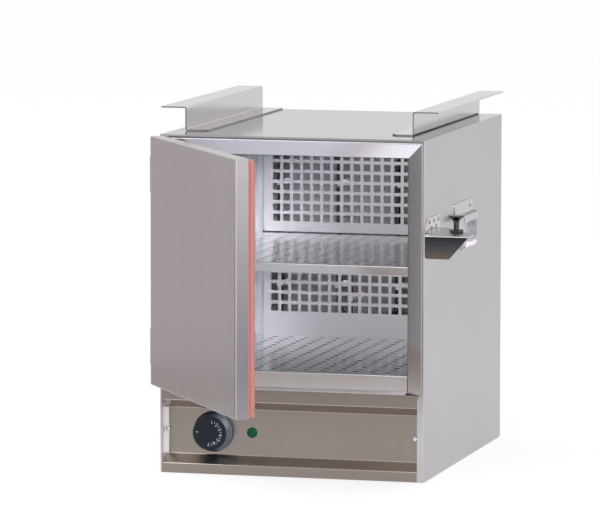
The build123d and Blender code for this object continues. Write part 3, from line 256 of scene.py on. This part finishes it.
# One material for each slot of the record.
MATERIALS = {
    "side_steel": steel("side_steel", srgb(192, 189, 191), 0.22, "Z", edge=0.78),
    "frame_steel": steel("frame_steel", srgb(196, 190, 187), 0.18, "Z"),
    # The control panel's dark brownish tone is painted reflection, standing in for the dark brown surroundings
    # that the panel mirrors.
    "control_steel": steel("control_steel", srgb(144, 135, 128), 0.27, "X", grain=0.01, bump=0.002,
                           cloud=0.02),
    "top_steel": steel("top_steel", srgb(205, 202, 205), 0.10, "Y", edge=0.68),
    "galvanised_sheet": steel("galvanised_sheet", srgb(180, 183, 185), 0.38, "X", cloud=0.12),
    "door_steel": steel("door_steel", srgb(191, 186, 187), 0.26, "Z"),
    "liner_steel": steel("liner_steel", srgb(214, 217, 222), 0.28, "Z"),
    "shelf_steel": steel("shelf_steel", srgb(210, 206, 207), 0.20, "X"),
    "perforated_steel": steel("perforated_steel", srgb(236, 235, 238), 0.30, "X"),
    "mineral_wool": wool("mineral_wool"),
    "red_silicone": moulded("red_silicone", srgb(202, 132, 127), 0.40, 0.04),
    "rail_steel": steel("rail_steel", srgb(210, 206, 207), 0.18, "Y", edge=0.82),
    "bracket_steel": steel("bracket_steel", srgb(206, 204, 206), 0.20, "Y", edge=0.85),
    "pin_steel": steel("pin_steel", srgb(190, 190, 192), 0.25, "Z"),
    # The latch knob's dark tone is painted reflection, standing in for the dark surroundings mirrored in its
    # polished steel.
    "polished_steel": steel("polished_steel", srgb(74, 80, 78), 0.05, "Z", grain=0.01, bump=0.0),
    "fastener_steel": steel("fastener_steel", srgb(214, 214, 218), 0.18, "X"),
    "black_plastic": moulded("black_plastic", srgb(13, 24, 38), 0.42, shine=0.3),
    "grey_phenolic": moulded("grey_phenolic", srgb(80, 80, 84), 0.5),
    "green_lens": moulded("green_lens", srgb(3, 92, 66), 0.12, 0.0, shine=0.15),
    "lamp_plastic": moulded("lamp_plastic", srgb(50, 50, 50), 0.4),
    "heater_sheath": steel("heater_sheath", srgb(112, 108, 110), 0.42, "Z"),
    "copper": steel("copper", srgb(222, 165, 130), 0.3, "Z"),
    "white_plastic": moulded("white_plastic", srgb(224, 222, 214), 0.45),
    "brass_parts": steel("brass_parts", srgb(218, 190, 130), 0.3, "X"),
    "gland_plastic": moulded("gland_plastic", srgb(52, 52, 56), 0.45),
    "wire_silicone": moulded("wire_silicone", srgb(204, 202, 195), 0.5),
}
# Sheets of one slot that differ a little in tone, by node. The bezel's top member, the chamber's back and its left
# wall are lighter copies: painted light, standing in for the light and reflections that fall into the chamber and
# onto the bezel.
OWN_MATERIALS = {
    "bezel_top": steel("bezel_top_painted_light", srgb(236, 234, 241), 0.20, "X"),
    "chamber_back": steel("chamber_back_painted_light", srgb(250, 251, 253), 0.35, "X", metal=0.2),
    "chamber_wall_left": steel("chamber_wall_painted_light", srgb(232, 237, 244), 0.34, "Z", metal=0.35),
    "side_grip": steel("grip_steel", srgb(201, 198, 202), 0.24, "Y", edge=0.82),
    "grille_posts": steel("post_steel", srgb(208, 211, 217), 0.36, "Z", edge=0.8),
}
# Finishes of single faces and of own meshes. All but the dial's paint and the rivets' steel are painted light or
# shade: lighter or darker copies that stand in for how light falls.
# Painted highlight: the knob's right-facing sides get a light blue-grey in place of the sheen that light gives
# them.
knob_painted_highlight = moulded("knob_painted_highlight", srgb(108, 127, 144), 0.25, 0.03, shine=1.0)
dial_paint = moulded("dial_paint", srgb(206, 214, 224), 0.5, 0.0)
# Painted shade and reflection for the latch flap's front lip: tones that darken towards the top of the lip.
painted_shade_lip = lip_steel("painted_shade_lip", (0.3335, 0.342, 0.345, 0.364),
                         (srgb(150, 138, 126), srgb(128, 120, 112), srgb(112, 118, 126), srgb(66, 70, 76)))
# Painted shade: a darker copy of the steel for the undersides of the door and of the frame's top member, the top
# panel's front fold and the rails' ends and foot edges, where shade draws dark lines.
painted_shade_edge = steel("painted_shade_edge", srgb(140, 137, 138), 0.35, "X")
# Painted shade: a darker copy of the door's steel for the door's top, in place of the light that falls on it.
door_top_painted_shade = steel("door_top_painted_shade", srgb(168, 162, 164), 0.26, "X")
rivet_steel = steel("rivet_steel", srgb(132, 132, 136), 0.22, "X")
# Painted light: a near-white copy of the panel's steel for the left end of the recess, standing in for the light
# that the cheek and strip catch and reflect.
cheek_painted_light = steel("cheek_painted_light", srgb(252, 247, 248), 0.30, "Z", metal=0.5)
# Painted light: a lighter copy of the panel's steel for its slopes, standing in for the reflections they show.
slope_painted_light = steel("slope_painted_light", srgb(188, 178, 171), 0.30, "X", grain=0.01, bump=0.002, cloud=0.02)


# ---------------------------------------------------------------- finishes by face
FLAP_LOW, FLAP_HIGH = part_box("latch_flap")
PANEL_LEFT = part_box("control_panel")[0].x
LIP_DEPTH = 0.0002
FLAP_BEND = 0.0030
CHEEK_SHEET = 0.0014
CHEEK_STRIP = 0.0067
CHEEK_LOW, CHEEK_HIGH = 0.027, 0.095
RAIL_FOOT_TOP = 0.5021
SQUARE = 0.9


def on_lip(face):
    """The outer face of the latch flap's front lip."""
    return (face.normal.y < -SQUARE and face.center.y < FLAP_LOW.y + LIP_DEPTH
            and face.center.z < FLAP_HIGH.z - FLAP_BEND)


def on_cheek(face):
    """The left end of the control panel's recess: its side and the strip beside it."""
    side = face.normal.x > SQUARE and face.center.x < PANEL_LEFT + CHEEK_SHEET
    strip = (face.normal.y < -SQUARE and face.center.x < PANEL_LEFT + CHEEK_STRIP
             and CHEEK_LOW < face.center.z < CHEEK_HIGH)
    return side or strip


def on_slope(face):
    """The sloped sheets above and below the control panel's flat field."""
    return face.normal.y < -0.3 and abs(face.normal.z) > 0.3


def on_front_fold(face):
    """The top panel's front fold and its bend."""
    return face.normal.y < -0.25


def on_lower_fold(face):
    """The underside of the frame's top member."""
    return face.normal.z < -0.6


def on_sheet_end(face):
    """The cut ends and the foot's side edge of a mounting rail."""
    return abs(face.normal.z) < 0.1 and (abs(face.normal.y) > 0.3 or face.center.z < RAIL_FOOT_TOP)


def on_upper_edge(face):
    """The door's top."""
    return face.normal.z > SQUARE


def on_under_edge(face):
    """The door's underside and the bend that leads to it."""
    return face.normal.z < -0.12


# Faces of a node that have another finish than the rest of it: each of these finishes is painted light or shade.
FACE_FINISHES = {
    "latch_flap": ((on_lip, painted_shade_lip),),
    "control_panel": ((on_cheek, cheek_painted_light), (on_slope, slope_painted_light)),
    "top_panel": ((on_front_fold, painted_shade_edge),),
    "bezel_top": ((on_lower_fold, painted_shade_edge),),
    "rail_left": ((on_sheet_end, painted_shade_edge),),
    "rail_right": ((on_sheet_end, painted_shade_edge),),
    "door_skin": ((on_upper_edge, door_top_painted_shade), (on_under_edge, painted_shade_edge)),
}


def dress_nodes():
    """Gives each node its slot's material, or its own, and then its faces' finishes."""
    for entry in frame["record"]["subparts"]:
        node = nodes[entry["node"]]
        node.data.materials.clear()
        node.data.materials.append(OWN_MATERIALS.get(entry["node"], MATERIALS[entry["material_slot"]]))
        for count, (test, finish) in enumerate(FACE_FINISHES.get(entry["node"], ()), start=1):
            node.data.materials.append(finish)
            for face in node.data.polygons:
                if face.material_index == 0 and test(face):
                    face.material_index = count


# ---------------------------------------------------------------- meshes
def mesh_object(name, mesh, material, smooth_angle=30.0):
    """A piece with smooth shading, sharp where faces meet at more than the angle in degrees."""
    piece = bpy.data.objects.new(name, mesh)
    scene.collection.objects.link(piece)
    mesh.materials.clear()
    mesh.materials.append(material)
    mesh.shade_smooth()
    mesh.set_sharp_from_angle(angle=math.radians(smooth_angle))
    return piece


def lathe(shape, profile, place, segments, ripple=None):
    """Turns (radius, height) pairs about the local Z axis of a placement matrix. ripple gives what a
    point's radius, height and angle add to its radius."""
    rings = []
    for radius, height in profile:
        ring = []
        for step in range(segments):
            angle = 2 * math.pi * step / segments
            reach = radius + (ripple(radius, height, angle) if ripple else 0.0)
            spot = Vector((reach * math.cos(angle), reach * math.sin(angle), height))
            ring.append(shape.verts.new(place @ spot))
        rings.append(ring)
    for lower, upper in zip(rings, rings[1:]):
        for step in range(segments):
            after = (step + 1) % segments
            shape.faces.new((lower[step], lower[after], upper[after], upper[step]))
    shape.faces.new(list(reversed(rings[0])))
    shape.faces.new(rings[-1])


def arc(centre, radius, start, end, steps):
    """Points of an arc as (radius, height) pairs, angles in degrees."""
    angles = [math.radians(start + (end - start) * step / steps) for step in range(steps + 1)]
    return [(centre[0] + radius * math.cos(angle), centre[1] + radius * math.sin(angle))
            for angle in angles]


def dome(radius, height, low_share, angles):
    """Points of an elliptic dome that begins at a share of its height, angles in radians."""
    return [(radius * math.cos(angle), height * (low_share + (1 - low_share) * math.sin(angle)))
            for angle in angles]


def to_mesh(shape, name):
    bmesh.ops.recalc_face_normals(shape, faces=shape.faces)
    mesh = bpy.data.meshes.new(name)
    shape.to_mesh(mesh)
    shape.free()
    return mesh


def aimed(point, direction):
    """A matrix whose Z axis runs along a direction from a point."""
    return Matrix.Translation(point) @ Vector(direction).to_track_quat("Z", "Y").to_matrix().to_4x4()


def settle(piece, node):
    """Makes a piece move with a node's body and stand for it."""
    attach(piece, BODIES[node])
    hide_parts(node)


def box_of(points):
    """The low and high corner round a list of points."""
    return [Vector([pick(point[axis] for point in points) for axis in range(3)]) for pick in (min, max)]


# ---------------------------------------------------------------- fasteners
WELD_DISTANCE = 0.000002
SAME_PLACE = 0.00001


def loose_parts(shape):
    """The points of each separate part of a shape."""
    left = set(shape.verts)
    parts = []
    while left:
        waiting = [left.pop()]
        part = list(waiting)
        while waiting:
            for edge in waiting.pop().link_edges:
                for vert in edge.verts:
                    if vert in left:
                        left.remove(vert)
                        waiting.append(vert)
                        part.append(vert)
        parts.append([vert.co.copy() for vert in part])
    return parts


def read_fastener(points):
    """A square-lying fastener as (seat point, outward direction, head radius, depth below the seat)."""
    low, high = box_of(points)
    size = high - low
    uneven = [abs(size[(axis + 1) % 3] - size[(axis + 2) % 3]) for axis in range(3)]
    axis = uneven.index(min(uneven))
    middle = (low + high) / 2
    head_radius = size[(axis + 1) % 3] / 2

    def reach(point):
        across = point - middle
        across[axis] = 0
        return across.length

    head = [point[axis] for point in points if reach(point) > head_radius * 0.9]
    faces_up = abs(max(head) - high[axis]) < SAME_PLACE
    outward = Vector((0, 0, 0))
    outward[axis] = 1.0 if faces_up else -1.0
    seat = middle.copy()
    seat[axis] = min(head) if faces_up else max(head)
    depth = seat[axis] - low[axis] if faces_up else high[axis] - seat[axis]
    return seat, outward, head_radius, depth


def fasteners_of(node, turn):
    """Each fastener of a node, read in a frame that is turned back to lie square."""
    shape = bmesh.new()
    shape.from_mesh(nodes[node].data)
    shape.transform(turn.inverted())
    bmesh.ops.remove_doubles(shape, verts=shape.verts, dist=WELD_DISTANCE)
    fasteners = []
    for points in loose_parts(shape):
        seat, outward, head_radius, depth = read_fastener(points)
        fasteners.append((turn @ seat, turn.to_3x3() @ outward, head_radius, depth))
    shape.free()
    return sorted(fasteners, key=lambda item: tuple(round(part, 5) for part in item[0]))


def rivet_head(shape, place, radius, depth):
    """A domed blind-rivet head with the hollow that its mandrel leaves."""
    height = radius * 0.36
    shank = radius * 0.5
    hollow = [(radius * 0.27, height * 0.98), (radius * 0.24, height * 0.5)]
    lathe(shape, [(shank, -depth), (shank, 0.0), (radius, 0.0), (radius, height * 0.25)]
          + dome(radius, height, 0.25, (0.35, 0.65, 0.95, 1.2)) + hollow, place, 28)


def screw_head(shape, place, radius, depth):
    """A pan head with a cross on its crown, drawn as two crossed shallow troughs."""
    height = 0.0022
    shank = radius * 0.55
    profile = [(shank, -depth), (shank, 0.0), (radius, 0.0), (radius, height * 0.35)]
    profile += [(radius - height * 0.55 * (1 - math.cos(angle)), height * (0.35 + 0.6 * math.sin(angle)))
                for angle in (0.4, 0.8, 1.2, 1.5)]
    lathe(shape, profile, place, 32)
    arm = radius * 0.58
    half = radius * 0.11
    top = height * 0.955
    bottom = top - 0.00001
    corners = [(-arm, -half), (arm, -half), (arm, half), (-arm, half)]
    for turn in (0.0, math.pi / 2):
        spin = place @ Matrix.Rotation(turn, 4, "Z")
        rim = [shape.verts.new(spin @ Vector((x, y, top))) for x, y in corners]
        floor = [shape.verts.new(spin @ Vector((x * 0.8, y * 0.5, bottom))) for x, y in corners]
        for step in range(4):
            after = (step + 1) % 4
            shape.faces.new((rim[step], rim[after], floor[after], floor[step]))
        shape.faces.new(floor)


def dress_fasteners(node, head, finish, turn=Matrix.Identity(4)):
    """Puts a modelled head in place of each fastener of a node."""
    shape = bmesh.new()
    for seat, outward, radius, depth in fasteners_of(node, turn):
        head(shape, aimed(seat, outward), radius, depth)
    name = node + "_heads"
    settle(mesh_object(name, to_mesh(shape, name), finish, 35.0), node)


# ---------------------------------------------------------------- knob, lamp and latch knob
KNOB_NUMBERS = (1, 2, 3, 4, 5, 6, 7)
KNOB_FLUTES = 60
FLUTE_DEPTH = 0.00025
FLUTES_FROM, FLUTES_BELOW_FACE = 0.0065, 0.0030
FACE_ROUND = 0.0015
FACE_RECESS = 0.0003
FIRST_NUMBER = math.radians(78.5)
NUMBER_STEP = math.radians(-28.9)
NUMBER_SIZE = 0.0078
PAINT_THICKNESS = 0.00016
INDEX_ANGLE = math.radians(176)


def knob_layout():
    """Centre on the panel, radius of the skirt and height of the control knob."""
    low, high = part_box("knob")
    middle = (low + high) / 2
    return Vector((middle.x, high.y, middle.z)), (high.x - low.x) / 2, high.y - low.y


def make_knob():
    """A skirted knob with a fluted, slightly conical grip and a recessed face."""
    foot, skirt, height = knob_layout()

    def flutes(radius, level, angle):
        if not FLUTES_FROM < level < height - FLUTES_BELOW_FACE:
            return 0.0
        return -FLUTE_DEPTH * (0.5 - 0.5 * math.cos(KNOB_FLUTES * angle))

    face = skirt * 0.868
    waist = skirt * 0.92
    field = height - FACE_RECESS
    profile = [(skirt - 0.0006, 0.0), (skirt, 0.0006), (skirt, 0.0020), (skirt - 0.0006, 0.0026),
               (skirt * 0.94, 0.0040)]
    profile += [(waist - (waist - face) * step / 8, 0.005 + (height - 0.0065) * step / 8)
                for step in range(9)]
    profile += arc((face - FACE_ROUND, height - FACE_ROUND), FACE_ROUND, 15, 90, 5)
    profile += [(face - 0.0018, height), (face - 0.0020, field), (0.0004, field)]
    shape = bmesh.new()
    lathe(shape, profile, aimed(foot, (0, -1, 0)), 240, flutes)
    cap = mesh_object("knob_cap", to_mesh(shape, "knob_cap"), MATERIALS["black_plastic"])
    cap.data.materials.append(knob_painted_highlight)
    # Faces turned to the right take the painted highlight.
    for part in cap.data.polygons:
        part.material_index = int(part.normal.x > 0.2 and part.normal.y > -0.7)
    settle(cap, "knob")


def make_dial():
    """Plain numbers, the marks between them and the index, as raised paint on the knob's face."""
    foot, skirt, height = knob_layout()
    front = foot.y - height + FACE_RECESS
    ring = skirt * 0.54
    parts = bmesh.new()

    def place(angle, radius):
        return (Matrix.Translation((foot.x, front, foot.z)) @ Matrix.Rotation(math.pi / 2, 4, "X")
                @ Matrix.Rotation(angle, 4, "Z") @ Matrix.Translation((radius, 0, 0)))

    def bar(angle, radius, length, width):
        corners = bmesh.ops.create_cube(parts, size=1.0)["verts"]
        scale = Matrix.Diagonal((length, width, PAINT_THICKNESS, 1.0))
        bmesh.ops.transform(parts, matrix=place(angle, radius) @ scale, verts=corners)

    for count, number in enumerate(KNOB_NUMBERS):
        curve = bpy.data.curves.new("number", "FONT")
        curve.body = str(number)
        curve.size = NUMBER_SIZE
        curve.extrude = PAINT_THICKNESS / 2
        curve.align_x = "CENTER"
        curve.align_y = "CENTER"
        text = bpy.data.objects.new("number", curve)
        scene.collection.objects.link(text)
        mesh = bpy.data.meshes.new_from_object(text.evaluated_get(bpy.context.evaluated_depsgraph_get()))
        bpy.data.objects.remove(text)
        outwards = Matrix.Rotation(-math.pi / 2, 4, "Z")
        mesh.transform(place(FIRST_NUMBER + NUMBER_STEP * count, ring) @ outwards)
        parts.from_mesh(mesh)
        bpy.data.meshes.remove(mesh)
        if count + 1 < len(KNOB_NUMBERS):
            bar(FIRST_NUMBER + NUMBER_STEP * (count + 0.5), ring + 0.0010, 0.0034, 0.0006)
    bar(INDEX_ANGLE, skirt * 0.64, 0.0032, 0.0014)
    dial = mesh_object("dial_numbers", to_mesh(parts, "dial_numbers"), dial_paint)
    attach(dial, BODIES["knob"])


def make_lamp():
    """The lens: a short flanged barrel with a dome."""
    low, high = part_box("lamp_lens")
    middle = (low + high) / 2
    radius = (high.x - low.x) / 2
    height = high.y - low.y
    flange = height * 0.45
    shape = bmesh.new()
    lathe(shape, [(radius - 0.0004, 0.0), (radius, 0.0003), (radius, height * 0.35),
                  (radius - 0.0003, flange), (radius * 0.88, flange)]
          + dome(radius * 0.86, height, 0.45, (0.0, 0.25, 0.5, 0.75, 1.0, 1.25, 1.5)),
          aimed((middle.x, high.y, middle.z), (0, -1, 0)), 64)
    lens = mesh_object("lamp_dome", to_mesh(shape, "lamp_dome"), MATERIALS["green_lens"], 40.0)
    settle(lens, "lamp_lens")


def make_latch_knob():
    """A turned knob that flares out from its stem, on a hexagon nut, with its screw below the flap."""
    low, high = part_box("latch_knob")
    middle = (low + high) / 2
    seat = FLAP_HIGH.z
    radius = (high.x - low.x) / 2
    height = high.z - seat
    stem = radius * 0.33
    nut = radius * 0.84
    screw = 0.0020
    place = Matrix.Translation((middle.x, middle.y, seat))
    shape = bmesh.new()
    lathe(shape, [(nut - 0.0006, 0.0), (nut, 0.0005), (nut, 0.0038), (nut - 0.0008, 0.0045)], place, 6)
    waist = [(stem + (radius * 0.93 - stem) * share ** 2.2, height * (0.50 + 0.40 * share))
             for share in (0.0, 0.2, 0.4, 0.6, 0.8, 1.0)]
    rim = arc((radius - 0.0009, height - 0.0011), 0.0009, -60, 90, 8)
    lathe(shape, [(stem, 0.0040), (stem, height * 0.30)] + waist + rim
          + [(radius * 0.5, height - 0.0001), (0.0003, height)], place, 64)
    lathe(shape, [(screw, low.z - seat), (screw, 0.0010)], place, 24)
    pull = mesh_object("latch_pull", to_mesh(shape, "latch_pull"), MATERIALS["polished_steel"], 40.0)
    settle(pull, "latch_knob")


# ---------------------------------------------------------------- door gasket
GASKET_WIDTH = 0.011
# The foot's edge as (inwards from the outer edge, up from the foot).
GASKET_FOOT = ((0.0, 0.0), (0.0, 0.0022), (0.0006, 0.0028), (0.0022, 0.0030), (0.0026, 0.0036))


def make_gasket():
    """A foot strip and a round bulb, led round the door's inner panel."""
    turn = door_rest()
    shape = bmesh.new()
    shape.from_mesh(nodes["door_gasket"].data)
    shape.transform(turn.inverted())
    low, high = box_of([vert.co for vert in shape.verts])
    shape.clear()
    depth = high.y - low.y
    bulb = GASKET_WIDTH * 0.44
    section = list(GASKET_FOOT)
    section += arc((GASKET_WIDTH / 2, depth - bulb), bulb, 210, -30, 12)
    section += [(GASKET_WIDTH - across, along) for across, along in reversed(GASKET_FOOT)]
    corners = [(low.x, low.z, 1, 1), (high.x, low.z, -1, 1), (high.x, high.z, -1, -1),
               (low.x, high.z, 1, -1)]
    rings = [[shape.verts.new((x + across * step_x, low.y + along, z + across * step_z))
              for across, along in section] for x, z, step_x, step_z in corners]
    for index, ring in enumerate(rings):
        after = rings[(index + 1) % 4]
        for step in range(len(section)):
            following = (step + 1) % len(section)
            shape.faces.new((ring[step], ring[following], after[following], after[step]))
    shape.transform(turn)
    gasket = mesh_object("gasket_ring", to_mesh(shape, "gasket_ring"), MATERIALS["red_silicone"], 35.0)
    settle(gasket, "door_gasket")


# ---------------------------------------------------------------- studio
FLOOR_REACH = 20.0
FLOOR_GAP = 0.0005
FLOOR_GREY = (0.55, 0.55, 0.55, 1.0)
# What the floor gives off to the rays that see it, so that it comes out white as the backdrop does.
FLOOR_GLOW = 0.62
WHITE = (1, 1, 1, 1)
SOFT_WHITE = (0.82, 0.83, 0.85, 1)
GROUND = cad_box[0][2]
CARD_LEVEL = GROUND + 0.001


def staged(name, corners, material):
    """A flat sheet of the studio."""
    mesh = bpy.data.meshes.new(name)
    mesh.from_pydata(corners, [], [tuple(range(len(corners)))])
    card = bpy.data.objects.new(name, mesh)
    scene.collection.objects.link(card)
    mesh.materials.append(material)
    return card


def level_corners(low_corner, high_corner, level):
    """The corners of a level rectangle, from two opposite corners in plan."""
    (low_x, low_y), (high_x, high_y) = low_corner, high_corner
    return [(low_x, low_y, level), (high_x, low_y, level), (high_x, high_y, level), (low_x, high_y, level)]


def make_floor():
    """A grey floor that keeps the shadow but looks white."""
    material, graph = new_material("floor")
    lit = graph.add("ShaderNodeBsdfDiffuse", {"Color": FLOOR_GREY}).outputs[0]
    strength = graph.math("MULTIPLY", graph.seen(), FLOOR_GLOW)
    glow = graph.add("ShaderNodeEmission", {"Color": WHITE, "Strength": strength}).outputs[0]
    graph.finish(graph.add("ShaderNodeAddShader", {0: lit, 1: glow}).outputs[0])
    staged("floor", level_corners((-FLOOR_REACH, -FLOOR_REACH), (FLOOR_REACH, FLOOR_REACH),
                                  GROUND - FLOOR_GAP), material)


def matt_card(name, corners, colour):
    """A matt card that only shows in the steel: no view sees it, and it throws no shadow."""
    material, graph = new_material(name)
    graph.finish(graph.add("ShaderNodeBsdfDiffuse", {"Color": colour}).outputs[0])
    card = staged(name, corners, material)
    card.visible_camera = False
    card.visible_diffuse = False
    card.visible_shadow = False


def standing_card(name, start, end, height, colour):
    top = GROUND + height
    matt_card(name, [(*start, GROUND), (*end, GROUND), (*end, top), (*start, top)], colour)


def lying_card(name, low_corner, high_corner, colour):
    matt_card(name, level_corners(low_corner, high_corner, CARD_LEVEL), colour)


def area_light(name, place, target, size, power):
    """A square lamp of a size in metres, turned to a target."""
    data = bpy.data.lights.new(name, "AREA")
    data.shape = "RECTANGLE"
    data.size = data.size_y = size
    data.energy = power
    light = bpy.data.objects.new(name, data)
    scene.collection.objects.link(light)
    light.location = place
    light.rotation_euler = (Vector(place) - Vector(target)).to_track_quat("Z", "Y").to_euler()


def make_world():
    """White to look at, a little darker and cooler as light."""
    world = bpy.data.worlds.new("studio")
    scene.world = world
    world.use_nodes = True
    graph = Graph(world.node_tree)
    white = graph.add("ShaderNodeBackground", {"Color": WHITE, "Strength": 1.0}).outputs[0]
    soft = graph.add("ShaderNodeBackground", {"Color": SOFT_WHITE, "Strength": 0.8}).outputs[0]
    shader = graph.add("ShaderNodeMixShader", {0: graph.seen(), 1: soft, 2: white}).outputs[0]
    graph.finish(shader, "ShaderNodeOutputWorld")


make_camera()
make_world()
make_floor()
area_light("key", (-2.2, -2.6, 3.0), (0, 0, 0.25), 2.5, 45)
area_light("fill", (1.35, -3.6, 1.3), (0, 0, 0.30), 0.9, 50)
standing_card("card_left", (-1.10, -0.60), (-1.10, 1.3), 1.1, srgb(246, 238, 237))
standing_card("card_right", (0.95, -1.75), (1.35, -1.05), 0.21, srgb(178, 176, 192))
lying_card("card_low", (0.45, -1.90), (1.35, -0.85), srgb(168, 166, 180))
lying_card("card_front", (-4.0, -6.0), (0.15, -1.05), srgb(152, 146, 140))
lying_card("card_side", (-4.0, -1.05), (-0.57, -0.05), srgb(152, 146, 140))
lying_card("card_door", (-4.0, -0.05), (-0.72, 0.9), srgb(180, 173, 168))
dress_nodes()
make_knob()
make_dial()
make_lamp()
make_latch_knob()
make_gasket()
dress_fasteners("wall_rivets", rivet_head, rivet_steel)
dress_fasteners("door_rivets", rivet_head, rivet_steel, door_rest())
dress_fasteners("casing_screws", screw_head, MATERIALS["fastener_steel"])
scene.view_settings.view_transform = "Standard"
